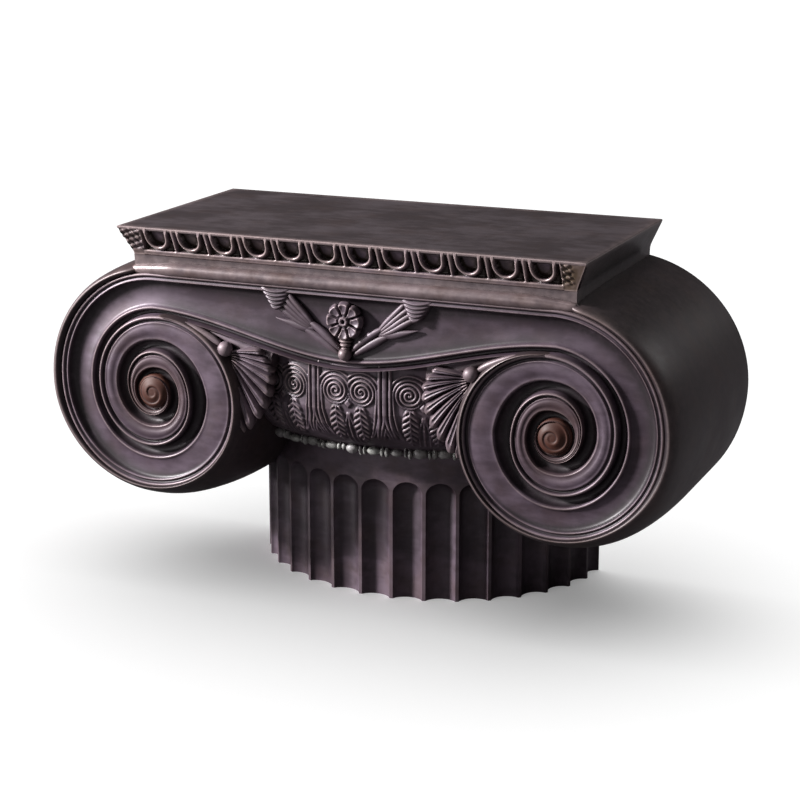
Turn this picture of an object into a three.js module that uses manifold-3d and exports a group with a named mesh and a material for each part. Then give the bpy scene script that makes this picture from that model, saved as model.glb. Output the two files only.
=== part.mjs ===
// Half of an Ionic column capital, cast in one piece with a flat back.
// Millimetres, +Z up. The origin is on the ground under the middle of the capital,
// the carved front faces -Y and the flat back lies in the plane y = DEPTH / 2.
import * as THREE from 'three';
import { mergeVertices } from 'three/addons/utils/BufferGeometryUtils.js';
import Module from 'manifold-3d';

// Driving dimensions
const HEIGHT = 470;
const TOP_LENGTH = 600;
const DEPTH = 304;
const BACK_Y = DEPTH / 2;
const FACE_Y = -141;

// Abacus: a thin edge over a sloping face that ends in a narrow neck
const ABACUS_INSET = 15;
const ABACUS_EDGE = 6;
const NECK_Z = 436;
const ABACUS_FOOT_Z = 410;

// Volutes: the scroll line's distance from the eye at each quarter turn, from the top outwards
const EYE_X = 262;
const EYE_Z = 261;
const EYE_RADIUS = 20;
const SCROLL_RADII = [151, 131, 122, 113, 97, 76, 69, 52, 53, 34, 29, 22, EYE_RADIUS];
const QUARTERS_PER_TURN = 4;
const STEPS_PER_QUARTER = 4;
const LIP_WIDTH = 5;
const CHANNEL_DEPTH = 9;
const TROUGH_DEPTH = 11;
const CHANNEL_WALL = 2;
const CHANNEL_LAST_QUARTER = 10.8;
// The bead stands off the next lip by a gap that widens over the first quarters
const BEAD_GAP_FIRST = 10;
const BEAD_GAP_FULL = 18;
const BEAD_GAP_QUARTERS = 3;
const EYE_RISE = 9;

// Bolsters swell from the face's edge to the back: at the top, outer side, bottom, inner side, top.
// A higher delay puts more of the swell further back.
const BOLSTER_SWELL = [15, 24, 34, 28, 2];
const SWELL_DELAY = [0.8, 1, 2.8, 2.4, 1];
// Each pair is a share of the swell and the depth at which the side has reached it
const BOLSTER_FRONT_Y = -139;
const BOLSTER_PROFILE = [[0, BOLSTER_FRONT_Y], [0.14, -145], [0.32, -148], [0.52, -143], [0.7, -129],
  [0.86, -98], [0.96, -45], [1, 20], [1, BACK_Y]];

// Canalis: the sunk band that joins the volutes, with a sagging double bead below it
const CANALIS_TOP_Z = 407;
const CANALIS_BEAM_TOP_Z = 424;
const BEAD_UPPER_Z = 326;
const BEAD_LOWER_Z = 317;
const BEAD_RISE = 43;
const BEAD_HALF_HEIGHT = 3;
const BEAM_HALF_LENGTH = EYE_X + 4;
const ROLL_Z = 418;
const ROLL_RADIUS = 8.5;
const ROLL_Y = -139.5;

// Column: a half ellipse in plan, with its axis on the flat back
const DRUM_HALF_WIDTH = 229.4;
const DRUM_REACH = 206.4;
const DRUM_TOP_Z = 200;
const FLUTES = 17;
const FLUTE_TOP_Z = 155;
const FLUTE_RADIUS = 17;
const FLUTE_OFFSET = 4;

// Echinus: rows of height above ground and reach in front of the drum
const ECHINUS_ROWS = [[194, 2], [196, 30], [209, 37], [216, 52], [227, 65], [243, 75], [262, 80],
  [318, 80], [332, 72], [364, 66]];
const ASTRAGAL_Z = 203;
const ASTRAGAL_REACH = 34;
const ASTRAGAL_RADIUS = 7;
const ASTRAGAL_SIDES = 8;
const PLAN_STEPS = 17;

// Ornament
const EGGS = 12;
const EGG_PITCH = 45;
const EGG_Z = 461;
const EGG_TOP_Z = 467.5;
const EGG_RIM = 2;
// Half width, half depth and half height of an egg's shell and of its hollow, with their depths
const EGG_SHELL = { half: [15.5, 6, 17], y: -147 };
const EGG_HOLLOW = { half: [11, 6, 12.5], y: -152 };
const ROSETTE_Z = 375;
const ROSETTE_RADIUS = 24;
const PETALS = 8;
const PETAL_RING = ROSETTE_RADIUS * 0.62;
const PETAL_LENGTH = ROSETTE_RADIUS * 0.4;
const PETAL_WIDTH = ROSETTE_RADIUS * 0.3;
const PETAL_RISE = 9;
// The heart of the flower, its calyx and the ball: height above ground, depth behind the face, half sizes
const FLOWER_STEM = [
  { z: ROSETTE_Z, behind: 4, half: [12, 9, 12] },
  { z: 346, behind: 4, half: [7, 8, 6] },
  { z: 334, behind: 2, half: [8.5, 9, 8.5] },
];
// A lobe's shape: each pair is a share of its length and of its width there
const LOBE_SIDES = 6;
const LOBE_STATIONS = [[0, 0.9], [0.3, 1], [0.8, 1], [0.95, 0.75], [1, 0.3]];
// The spray's reeds: both ends, the width at each end and half the depth
const SPRAY_BEHIND = 7;
const SPRAY_REEDS = [
  { from: [9, 333], to: [52, 366], widths: [8, 7], half: 7 },
  { from: [11, 341], to: [42, 372], widths: [6, 6], half: 6 },
  { from: [46, 364], to: [90, 370], widths: [8, 5], half: 6 },
  { from: [44, 366], to: [80, 404], widths: [12, 16], half: 7 },
];
const SPRAY_CUP = [[80, 386], [101, 385], [113, 407], [76, 409]];
const SPRAY_CUP_FRONT = FACE_Y - 3;
const SPRAY_CUP_BACK = FACE_Y + 15;
const PALMETTE_ROOT = [166, 326];
// Tips of the palmette's lobes, from the top one round to the lowest
const PALMETTE_TIPS = [[101, 312], [98, 299], [99, 281], [103, 262], [113, 247], [124, 234], [137, 219]];
const PALMETTE_BEHIND = 6;
const PALMETTE_KNOB = [10, 10, 9];
// How the lobes' roots, depths, widths and thicknesses change from one lobe to the next
const PALMETTE_ROOT_OFFSET = [-4, -3];
const PALMETTE_ROOT_STEP = [0.7, -3];
const PALMETTE_BEHIND_STEP = 0.6;
const PALMETTE_WIDTHS = [8, 14];
const PALMETTE_HALF_DEPTH = 11;
const PALMETTE_THINNING = 0.5;

const bronze = new THREE.MeshStandardMaterial({ color: 0x4a3f44, roughness: 0.42, metalness: 0.85 });

const wasm = await Module();
wasm.setup();

const smooth = (t) => t * t * (3 - 2 * t);
const lerp = THREE.MathUtils.lerp;

// A solid for joining and cutting, from a closed geometry
function solid(geometry) {
  const bare = geometry.index ? geometry.toNonIndexed() : geometry.clone();
  bare.deleteAttribute('normal');
  bare.deleteAttribute('uv');
  const merged = mergeVertices(bare, 1e-4);
  const mesh = new wasm.Mesh({
    numProp: 3,
    vertProperties: new Float32Array(merged.attributes.position.array),
    triVerts: new Uint32Array(merged.index.array),
  });
  return new wasm.Manifold(mesh);
}

// A closed skin over rings of equal count, each a loop of Vector3, with flat ends
function skin(rings) {
  const count = rings[0].length;
  const positions = rings.flat().flatMap((p) => [p.x, p.y, p.z]);
  const index = [];
  for (let row = 0; row + 1 < rings.length; row += 1) {
    for (let i = 0; i < count; i += 1) {
      const a = row * count + i;
      const b = row * count + ((i + 1) % count);
      index.push(a, b, b + count, a, b + count, a + count);
    }
  }
  const last = (rings.length - 1) * count;
  for (const [ring, base, flip] of [[rings[0], 0, true], [rings[rings.length - 1], last, false]]) {
    for (const [a, b, c] of endFaces(ring)) {
      index.push(base + a, base + (flip ? c : b), base + (flip ? b : c));
    }
  }
  const geometry = new THREE.BufferGeometry();
  geometry.setAttribute('position', new THREE.Float32BufferAttribute(positions, 3));
  geometry.setIndex(index);
  return geometry;
}

// Triangles over a flat loop, wound the way the loop runs
function endFaces(ring) {
  const normal = new THREE.Vector3();
  ring.forEach((p, i) => normal.add(p.clone().cross(ring[(i + 1) % ring.length])));
  const turn = new THREE.Quaternion().setFromUnitVectors(normal.normalize(), new THREE.Vector3(0, 0, 1));
  const flat = ring.map((p) => p.clone().applyQuaternion(turn));
  return THREE.ShapeUtils.triangulateShape(flat.map((p) => new THREE.Vector2(p.x, p.y)), []);
}

// A skin whose faces point out, whichever way its rings run
function closedSkin(rings) {
  const made = solid(skin(rings));
  return made.volume() > 0 ? made : solid(skin([...rings].reverse()));
}

// A plate of outline points (x, z) between two depths
function plate(points, yFront, yBack) {
  const shape = new THREE.Shape(points.map(([x, z]) => new THREE.Vector2(x, z)));
  const geometry = new THREE.ExtrudeGeometry(shape, { depth: yBack - yFront, bevelEnabled: false });
  geometry.rotateX(Math.PI / 2);
  geometry.translate(0, yBack, 0);
  return solid(geometry);
}

// An ellipsoid with its own three half sizes, turned about the depth axis
function pebble(x, y, z, halfX, halfY, halfZ, turn = 0, around = 8, rows = 5) {
  const geometry = new THREE.SphereGeometry(1, around, rows);
  geometry.scale(halfX, halfY, halfZ);
  geometry.rotateY(turn);
  geometry.translate(x, y, z);
  return solid(geometry);
}

// A round-ended bar from one point of the face to another, thick at its far end
function lobe(from, to, y, rootWidth, tipWidth, halfDepth) {
  const dx = to[0] - from[0];
  const dz = to[1] - from[1];
  const length = Math.hypot(dx, dz);
  const rings = [];
  for (const [t, share] of LOBE_STATIONS) {
    const half = lerp(rootWidth, tipWidth, t) * share / 2;
    const ring = [];
    for (let i = 0; i < LOBE_SIDES; i += 1) {
      const angle = i / LOBE_SIDES * Math.PI * 2;
      const across = half * Math.cos(angle);
      ring.push(new THREE.Vector3(
        from[0] + dx * t - dz / length * across,
        y + halfDepth * share * Math.sin(angle),
        from[1] + dz * t + dx / length * across,
      ));
    }
    rings.push(ring);
  }
  return closedSkin(rings);
}

// The scroll line's radius at a number of quarter turns from the top
function scrollRadius(quarters) {
  const whole = Math.min(Math.floor(quarters), SCROLL_RADII.length - 2);
  const t = Math.min(quarters - whole, 1);
  const at = (i) => SCROLL_RADII[THREE.MathUtils.clamp(i, 0, SCROLL_RADII.length - 1)];
  const slope = (i) => (at(i + 1) - at(i - 1)) / 2;
  const square = t * t;
  const cube = square * t;
  return (2 * cube - 3 * square + 1) * at(whole) + (cube - 2 * square + t) * slope(whole)
    + (3 * square - 2 * cube) * at(whole + 1) + (cube - square) * slope(whole + 1);
}

// A point of the right volute, counted in quarter turns from the top towards the outer side
function onVolute(quarters, radius, y) {
  const angle = quarters * Math.PI / 2;
  return new THREE.Vector3(EYE_X + radius * Math.sin(angle), y, EYE_Z + radius * Math.cos(angle));
}

function mirrored(shape) {
  return shape.mirror([1, 0, 0]);
}

function bothSides(shape) {
  return shape.add(mirrored(shape));
}

// The abacus, flared to the front and to both ends and flat behind
function abacus() {
  const flare = [
    [ABACUS_FOOT_Z, ABACUS_INSET], [NECK_Z - 3, ABACUS_INSET], [NECK_Z + 2, ABACUS_INSET - 1],
    [HEIGHT - ABACUS_EDGE - 3, 3], [HEIGHT - ABACUS_EDGE, 0.5], [HEIGHT - 2, 0], [HEIGHT, 2],
  ];
  const half = TOP_LENGTH / 2;
  const right = flare.map(([z, inset]) => [half - inset, z]);
  const left = flare.map(([z, inset]) => [inset - half, z]).reverse();
  const ends = plate([...right, ...left], -BACK_Y, BACK_Y);
  const front = flare.map(([z, inset]) => [inset - BACK_Y, z]);
  const side = new THREE.Shape([...front, [BACK_Y, HEIGHT], [BACK_Y, ABACUS_FOOT_Z]]
    .map(([y, z]) => new THREE.Vector2(y, z)));
  const bar = new THREE.ExtrudeGeometry(side, { depth: TOP_LENGTH, bevelEnabled: false });
  bar.applyMatrix4(new THREE.Matrix4().makeBasis(
    new THREE.Vector3(0, 1, 0), new THREE.Vector3(0, 0, 1), new THREE.Vector3(1, 0, 0)));
  bar.translate(-half, 0, 0);
  return ends.intersect(solid(bar));
}

// A row of ellipsoids on the abacus' sloping face, one for each egg
function eggRow({ half, y }) {
  const tilt = Math.atan2(ABACUS_INSET, HEIGHT - NECK_Z);
  const row = [];
  for (let i = 0; i < EGGS; i += 1) {
    const geometry = new THREE.SphereGeometry(1, 10, 6);
    geometry.scale(...half);
    geometry.rotateX(tilt);
    geometry.translate((i - (EGGS - 1) / 2) * EGG_PITCH, y, EGG_Z);
    row.push(solid(geometry));
  }
  return wasm.Manifold.union(row);
}

// The height of the abacus that the eggs may fill, from a front depth back to the middle
function eggBand(topZ, yFront) {
  const half = TOP_LENGTH / 2;
  return plate([[-half, NECK_Z], [half, NECK_Z], [half, topZ], [-half, topZ]], yFront, 0);
}

// One bolster with its volute's outline, swelling from the face to the back
function bolster() {
  const steps = QUARTERS_PER_TURN * STEPS_PER_QUARTER * 2;
  const rings = BOLSTER_PROFILE.map(([share, y]) => {
    const ring = [];
    for (let i = 0; i <= steps; i += 1) {
      const quarters = i / steps * QUARTERS_PER_TURN;
      const from = Math.min(Math.floor(quarters), QUARTERS_PER_TURN - 1);
      const between = (values) => lerp(values[from], values[from + 1], smooth(quarters - from));
      const swell = between(BOLSTER_SWELL) * share ** between(SWELL_DELAY);
      const atSeam = i === 0 || i === steps;
      ring.push(onVolute(quarters, scrollRadius(quarters) + swell, atSeam ? Math.max(y, BOLSTER_FRONT_Y) : y));
    }
    return ring;
  });
  return closedSkin(rings);
}

// The height of a bead that hangs under the canalis and rises to the volutes
function beadZ(x, lowest) {
  return lowest + BEAD_RISE * smooth(Math.min(Math.abs(x) / EYE_X, 1));
}

// The beam between the volutes, with its lower edge along the lower bead
function beam() {
  const lower = [];
  for (let i = 0; i <= PLAN_STEPS; i += 1) {
    const x = lerp(-BEAM_HALF_LENGTH, BEAM_HALF_LENGTH, i / PLAN_STEPS);
    lower.push([x, beadZ(x, BEAD_LOWER_Z) - BEAD_HALF_HEIGHT]);
  }
  const upper = [[BEAM_HALF_LENGTH, CANALIS_BEAM_TOP_Z], [-BEAM_HALF_LENGTH, CANALIS_BEAM_TOP_Z]];
  return plate([...lower, ...upper], FACE_Y, BACK_Y);
}

// The half-round roll along the top of the canalis
function roll() {
  const geometry = new THREE.CylinderGeometry(ROLL_RADIUS, ROLL_RADIUS, EYE_X * 2, 12);
  geometry.rotateZ(Math.PI / 2);
  geometry.translate(0, ROLL_Y, ROLL_Z);
  return solid(geometry);
}

// The cutter for the canalis and for the channel that winds into both eyes
function channels() {
  const stations = [];
  const turns = Math.round(CHANNEL_LAST_QUARTER * STEPS_PER_QUARTER);
  for (let i = turns; i > 0; i -= 1) {
    const quarters = i / turns * CHANNEL_LAST_QUARTER;
    const next = Math.min(quarters + QUARTERS_PER_TURN, SCROLL_RADII.length - 1);
    const outer = scrollRadius(quarters) - LIP_WIDTH;
    const inner = Math.min(scrollRadius(next) + 0.5, outer - 1);
    const width = outer - inner;
    const opened = Math.min(quarters / BEAD_GAP_QUARTERS, 1);
    const gap = Math.min(lerp(BEAD_GAP_FIRST, BEAD_GAP_FULL, opened), width * 0.4);
    stations.push({ at: (radius, y) => onVolute(quarters, radius, y), outer, inner, bead: inner + gap });
  }
  const middle = [];
  for (let i = 0; i <= PLAN_STEPS; i += 1) {
    const x = lerp(EYE_X, -EYE_X, i / PLAN_STEPS);
    middle.push({
      at: (z, y) => new THREE.Vector3(x, y, z),
      outer: CANALIS_TOP_Z,
      inner: beadZ(x, BEAD_LOWER_Z) + BEAD_HALF_HEIGHT,
      bead: beadZ(x, BEAD_UPPER_Z),
    });
  }
  const flip = (at) => (radius, y) => {
    const p = at(radius, y);
    return new THREE.Vector3(-p.x, p.y, p.z);
  };
  const far = [...stations].reverse().map((s) => ({ ...s, at: flip(s.at) }));
  const rings = [...stations, ...middle, ...far].map(({ at, outer, inner, bead }) => {
    const wall = Math.min(CHANNEL_WALL, (outer - inner) * 0.2);
    const trough = lerp(inner, bead, 0.45);
    const deep = Math.min(TROUGH_DEPTH, (bead - inner) * 0.7);
    const front = FACE_Y - 12;
    return [
      at(outer, front), at(outer, FACE_Y + 1), at(outer - wall, FACE_Y + CHANNEL_DEPTH),
      at(lerp(outer, bead, 0.6), FACE_Y + CHANNEL_DEPTH - 1.5), at(bead, FACE_Y + 2),
      at(trough, FACE_Y + deep), at(inner, FACE_Y + 0.5), at(inner, front),
    ];
  });
  return closedSkin(rings);
}

// A half-ellipse plan at one height, reaching out from the flat back
function planRing(halfWidth, reach, z) {
  const ring = [];
  for (let i = 0; i <= PLAN_STEPS * 2; i += 1) {
    const angle = lerp(-Math.PI / 2, Math.PI / 2, i / (PLAN_STEPS * 2));
    ring.push(new THREE.Vector3(halfWidth * Math.sin(angle), BACK_Y - reach * Math.cos(angle), z));
  }
  return ring;
}

// The drum with its flutes, which run out at the foot and end in round heads
function drum() {
  const ends = [0, DRUM_TOP_Z].map((z) => planRing(DRUM_HALF_WIDTH, DRUM_REACH, z));
  const body = closedSkin(ends);
  const cuts = [];
  const headZ = FLUTE_TOP_Z - FLUTE_RADIUS;
  const straight = headZ + FLUTE_RADIUS * 2;
  for (let i = 0; i < FLUTES; i += 1) {
    const angle = ((i + 0.5) / FLUTES - 0.5) * Math.PI;
    const nx = Math.sin(angle) / DRUM_HALF_WIDTH;
    const ny = -Math.cos(angle) / DRUM_REACH;
    const size = Math.hypot(nx, ny);
    const x = DRUM_HALF_WIDTH * Math.sin(angle) + FLUTE_OFFSET * nx / size;
    const y = BACK_Y - DRUM_REACH * Math.cos(angle) + FLUTE_OFFSET * ny / size;
    const flute = new THREE.CapsuleGeometry(FLUTE_RADIUS, straight, 2, 12);
    flute.rotateX(Math.PI / 2);
    flute.rotateZ(Math.atan2(ny, nx));
    flute.translate(x, y, headZ - straight / 2);
    cuts.push(solid(flute));
  }
  return cuts.reduce((left, cut) => left.subtract(cut), body);
}

// The cushion between the volutes, with the astragal under it
function echinus() {
  const ratio = DRUM_HALF_WIDTH / DRUM_REACH;
  const rings = ECHINUS_ROWS.map(([z, out]) => planRing(DRUM_HALF_WIDTH + out * ratio, DRUM_REACH + out, z));
  const bead = [];
  for (let i = 0; i <= PLAN_STEPS; i += 1) {
    const angle = lerp(-Math.PI / 2, Math.PI / 2, i / PLAN_STEPS);
    const ring = [];
    for (let j = 0; j < ASTRAGAL_SIDES; j += 1) {
      const around = (j + 0.5) / ASTRAGAL_SIDES * Math.PI * 2;
      const out = ASTRAGAL_REACH + ASTRAGAL_RADIUS * Math.cos(around);
      ring.push(new THREE.Vector3(
        (DRUM_HALF_WIDTH + out * ratio) * Math.sin(angle),
        BACK_Y - (DRUM_REACH + out) * Math.cos(angle),
        ASTRAGAL_Z + ASTRAGAL_RADIUS * Math.sin(around),
      ));
    }
    bead.push(ring);
  }
  return closedSkin(rings).add(closedSkin(bead));
}

// The flower in the middle, its calyx and the ball below it
function rosette() {
  const parts = FLOWER_STEM.map(({ z, behind, half }) => pebble(0, FACE_Y + behind, z, ...half));
  for (let i = 0; i < PETALS; i += 1) {
    const angle = (i + 0.5) / PETALS * Math.PI * 2;
    parts.push(pebble(PETAL_RING * Math.cos(angle), FACE_Y + 1, ROSETTE_Z + PETAL_RING * Math.sin(angle),
      PETAL_LENGTH, PETAL_RISE, PETAL_WIDTH, -angle));
  }
  return parts;
}

// The spray on the right of the flower: reeds that end in a leaf and in a cup under the roll
function spray() {
  const reeds = SPRAY_REEDS.map(({ from, to, widths, half }) => (
    lobe(from, to, FACE_Y + SPRAY_BEHIND, ...widths, half)));
  return [...reeds, plate(SPRAY_CUP, SPRAY_CUP_FRONT, SPRAY_CUP_BACK)];
}

// The palmette on the right: a knob with a fan of lobes
function palmette() {
  const parts = PALMETTE_TIPS.map((tip, i) => {
    const root = [0, 1].map((k) => PALMETTE_ROOT[k] + PALMETTE_ROOT_OFFSET[k] + i * PALMETTE_ROOT_STEP[k]);
    const y = FACE_Y + PALMETTE_BEHIND + i * PALMETTE_BEHIND_STEP;
    const thinner = i * PALMETTE_THINNING;
    return lobe(root, tip, y, PALMETTE_WIDTHS[0], PALMETTE_WIDTHS[1] - thinner, PALMETTE_HALF_DEPTH - thinner);
  });
  parts.push(pebble(PALMETTE_ROOT[0], FACE_Y, PALMETTE_ROOT[1], ...PALMETTE_KNOB));
  return parts;
}

function capital() {
  let body = bothSides(bolster()).add(beam()).subtract(channels());
  const eye = pebble(EYE_X, FACE_Y + 4, EYE_Z, EYE_RADIUS, EYE_RISE, EYE_RADIUS, 0, 16, 8);
  const shells = eggRow(EGG_SHELL).intersect(eggBand(EGG_TOP_Z, -BACK_Y));
  const hollows = eggRow(EGG_HOLLOW).intersect(eggBand(EGG_TOP_Z - EGG_RIM, -DEPTH));
  body = wasm.Manifold.union([body, bothSides(eye), roll(), abacus(), shells, drum(), echinus(),
    ...rosette(), ...[...spray(), ...palmette()].map(bothSides)]);
  return body.subtract(hollows);
}

const { vertProperties, triVerts } = capital().getMesh();
const geometry = new THREE.BufferGeometry();
geometry.setAttribute('position', new THREE.BufferAttribute(vertProperties, 3));
geometry.setIndex(new THREE.BufferAttribute(triVerts, 1));
const mesh = new THREE.Mesh(geometry, bronze);
mesh.name = 'capital';
const model = new THREE.Group();
model.add(mesh);

export default model;
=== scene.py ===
"""Half of an Ionic column capital in patinated bronze: its carved faces, finish, light and camera."""

import logging
import math
from dataclasses import dataclass
from enum import Enum
from typing import Any, Callable, Sequence

import bmesh
import bpy
import numpy as np
from mathutils import Matrix, Vector


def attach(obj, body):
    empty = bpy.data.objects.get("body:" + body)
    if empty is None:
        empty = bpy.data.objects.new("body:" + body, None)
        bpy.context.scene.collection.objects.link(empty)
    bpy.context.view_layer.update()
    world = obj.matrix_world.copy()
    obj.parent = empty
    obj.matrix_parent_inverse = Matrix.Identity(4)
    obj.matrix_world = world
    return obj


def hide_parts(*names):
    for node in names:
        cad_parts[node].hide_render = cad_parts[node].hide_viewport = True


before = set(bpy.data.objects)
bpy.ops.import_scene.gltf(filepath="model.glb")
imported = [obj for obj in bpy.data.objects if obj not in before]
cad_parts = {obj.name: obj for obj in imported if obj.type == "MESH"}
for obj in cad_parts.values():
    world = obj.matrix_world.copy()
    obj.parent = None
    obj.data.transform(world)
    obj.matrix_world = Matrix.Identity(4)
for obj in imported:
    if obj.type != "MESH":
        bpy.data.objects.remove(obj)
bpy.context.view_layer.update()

log = logging.getLogger("capital")

MM = 0.001
BACK_Y = 152.0
BED_Y = -116.0
FRONT_LIMIT = -151.9
QUARTERS_PER_TURN = 4
FULL_TURN = 2.0 * math.pi
Placer = Callable[[np.ndarray, np.ndarray], np.ndarray]
Colour = tuple[float, float, float]


def smooth(t: np.ndarray | float) -> np.ndarray:
    """Ease from 0 to 1 and stay there."""
    t = np.clip(t, 0.0, 1.0)
    return t * t * (3.0 - 2.0 * t)


def mix(a: Any, b: Any, t: Any) -> Any:
    """Blend straight from a to b."""
    return a + (b - a) * t


def ridge(distance: np.ndarray, width: float) -> np.ndarray:
    """Height of a rounded ridge of full width, 1 on its middle line and 0 outside it."""
    return np.sqrt(np.clip(1.0 - (2.0 * distance / width) ** 2, 0.0, 1.0))


def stacked(x: np.ndarray, y: np.ndarray, z: np.ndarray) -> np.ndarray:
    """Coordinates as rows of x, y and z."""
    return np.stack(np.broadcast_arrays(x, y, z), axis=-1).astype(float)


def hermite(t: Any, ends: tuple[Any, Any], slopes: tuple[Any, Any]) -> Any:
    """A cubic from one end to the other that leaves and arrives with the given slopes."""
    return ((2 * t**3 - 3 * t**2 + 1) * ends[0] + (t**3 - 2 * t**2 + t) * slopes[0]
            + (3 * t**2 - 2 * t**3) * ends[1] + (t**3 - t**2) * slopes[1])


def placed(name: str, data: Any) -> bpy.types.Object:
    """A new object in the scene."""
    made = bpy.data.objects.new(name, data)
    bpy.context.scene.collection.objects.link(made)
    return made


class Side(Enum):
    """Which half of the face a piece belongs to."""

    LEFT = -1
    RIGHT = 1

    @property
    def word(self) -> str:
        """The side's name in a piece's name."""
        return self.name.lower()


class Form:
    """A closed mesh under construction, in millimetres, made of one or more moved grids."""

    def __init__(self) -> None:
        """Start empty."""
        self.mesh = bmesh.new()

    def sheet(self, columns: int, rows: int, place: Placer, weld: float = 0.004) -> "Form":
        """Add a grid whose vertices a function moves, and weld what it brings together.

        Args:
            columns: faces along the first direction.
            rows: faces along the second direction.
            place: gives the place for each pair of shares between 0 and 1.
            weld: vertices nearer than this become one.

        Returns:
            This form.
        """
        part = bmesh.new()
        bmesh.ops.create_grid(part, x_segments=columns, y_segments=rows, size=1.0)
        flat = np.array([v.co for v in part.verts])
        shares = flat[:, :2] / 2.0 + 0.5
        places = place(shares[:, 0], shares[:, 1])
        for vertex, co in zip(part.verts, places):
            vertex.co = co
        bmesh.ops.remove_doubles(part, verts=part.verts, dist=weld)
        bmesh.ops.dissolve_degenerate(part, edges=part.edges, dist=weld * 0.1)
        self._take(part)
        return self

    def slab(self, columns: int, rows: int, place: Placer, back: Callable[[Vector], Vector]) -> "Form":
        """Add a sheet with a thickness behind it.

        Args:
            columns: faces along the first direction.
            rows: faces along the second direction.
            place: gives the front's place for each pair of shares.
            back: gives the place behind each point of the front.

        Returns:
            This form.
        """
        part = Form()
        part.sheet(columns, rows, place)
        made = bmesh.ops.extrude_face_region(part.mesh, geom=part.mesh.faces[:], use_keep_orig=True)
        for item in made["geom"]:
            if isinstance(item, bmesh.types.BMVert):
                item.co = back(item.co)
        bmesh.ops.recalc_face_normals(part.mesh, faces=part.mesh.faces)
        self._take(part.mesh)
        return self

    def bar(self, path: Sequence[Sequence[float]], halves: Sequence[Sequence[float]],
            up: Sequence[float] = (0.0, -1.0, 0.0), sides: int = 12, rows: int = 14) -> "Form":
        """Add a round-ended bar along a smooth path.

        Args:
            path: points that the bar's middle line passes.
            halves: half width and half thickness at each point.
            up: the direction in which its thickness is measured.
            sides: faces around it.
            rows: faces along it.

        Returns:
            This form.
        """
        points = np.array(path, float)
        sizes = np.array(halves, float)
        knots = np.linspace(0.0, 1.0, len(points))
        nudge = 0.01
        thinnest = 0.05
        bluntness = 0.6

        def along(values: np.ndarray, t: np.ndarray) -> np.ndarray:
            """A smooth curve through values at evenly spaced knots."""
            slopes = np.gradient(values, knots, axis=0)
            i = np.clip(np.searchsorted(knots, t, side="right") - 1, 0, len(knots) - 2)
            step = (knots[i + 1] - knots[i])[:, None]
            share = (t - knots[i])[:, None] / step
            return hermite(share, (values[i], values[i + 1]), (step * slopes[i], step * slopes[i + 1]))

        def place(u: np.ndarray, v: np.ndarray) -> np.ndarray:
            """The bar's skin."""
            t = 0.5 - 0.5 * np.cos(v * math.pi)
            ahead = along(points, np.clip(t + nudge, 0, 1)) - along(points, np.clip(t - nudge, 0, 1))
            ahead /= np.linalg.norm(ahead, axis=1)[:, None]
            across = np.cross(ahead, np.array(up, float))
            across /= np.linalg.norm(across, axis=1)[:, None]
            thick = np.cross(across, ahead)
            half = np.maximum(along(sizes, t), thinnest) * (np.sin(v * math.pi) ** bluntness)[:, None]
            angle = u * FULL_TURN
            return (along(points, t) + across * (half[:, 0] * np.cos(angle))[:, None]
                    + thick * (half[:, 1] * np.sin(angle))[:, None])

        return self.sheet(sides, rows, place)

    def bead(self, middle: Sequence[float], halves: Sequence[float], turn: float = 0.0,
             sides: int = 16, rows: int = 10) -> "Form":
        """Add an ellipsoid turned about the upright axis.

        Args:
            middle: its middle point.
            halves: its three half sizes.
            turn: the angle about the upright axis.
            sides: faces around it.
            rows: faces from pole to pole.

        Returns:
            This form.
        """
        part = bmesh.new()
        spot = Matrix.Translation(middle) @ Matrix.Rotation(turn, 4, "Z") @ Matrix.Diagonal((*halves, 1.0))
        bmesh.ops.create_uvsphere(part, u_segments=sides, v_segments=rows, radius=1.0, matrix=spot)
        self._take(part)
        return self

    def _take(self, part: bmesh.types.BMesh) -> None:
        """Move another mesh's faces into this one."""
        data = bpy.data.meshes.new("part")
        bmesh.ops.recalc_face_normals(part, faces=part.faces)
        part.to_mesh(data)
        part.free()
        self.mesh.from_mesh(data)
        bpy.data.meshes.remove(data)

    def piece(self, name: str, finish: "Bronze", sharp: float = 50.0) -> bpy.types.Object:
        """Turn the form into a dressed piece of the capital.

        Args:
            name: the piece's name.
            finish: the finish that it wears.
            sharp: the angle in degrees past which an edge is creased.

        Returns:
            The new object.
        """
        bmesh.ops.scale(self.mesh, vec=(MM, MM, MM), verts=self.mesh.verts)
        for face in self.mesh.faces:
            face.smooth = True
        limit = math.radians(sharp)
        for edge in self.mesh.edges:
            edge.smooth = len(edge.link_faces) == 2 and edge.calc_face_angle(0.0) < limit
        data = bpy.data.meshes.new(name)
        self.mesh.to_mesh(data)
        self.mesh.free()
        made = placed(name, data)
        rub(made, finish.spread)
        data.materials.append(finish.material())
        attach(made, "root")
        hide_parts("capital")
        log.info("%s: %d triangles", name, sum(len(p.vertices) - 2 for p in data.polygons))
        return made


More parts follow.
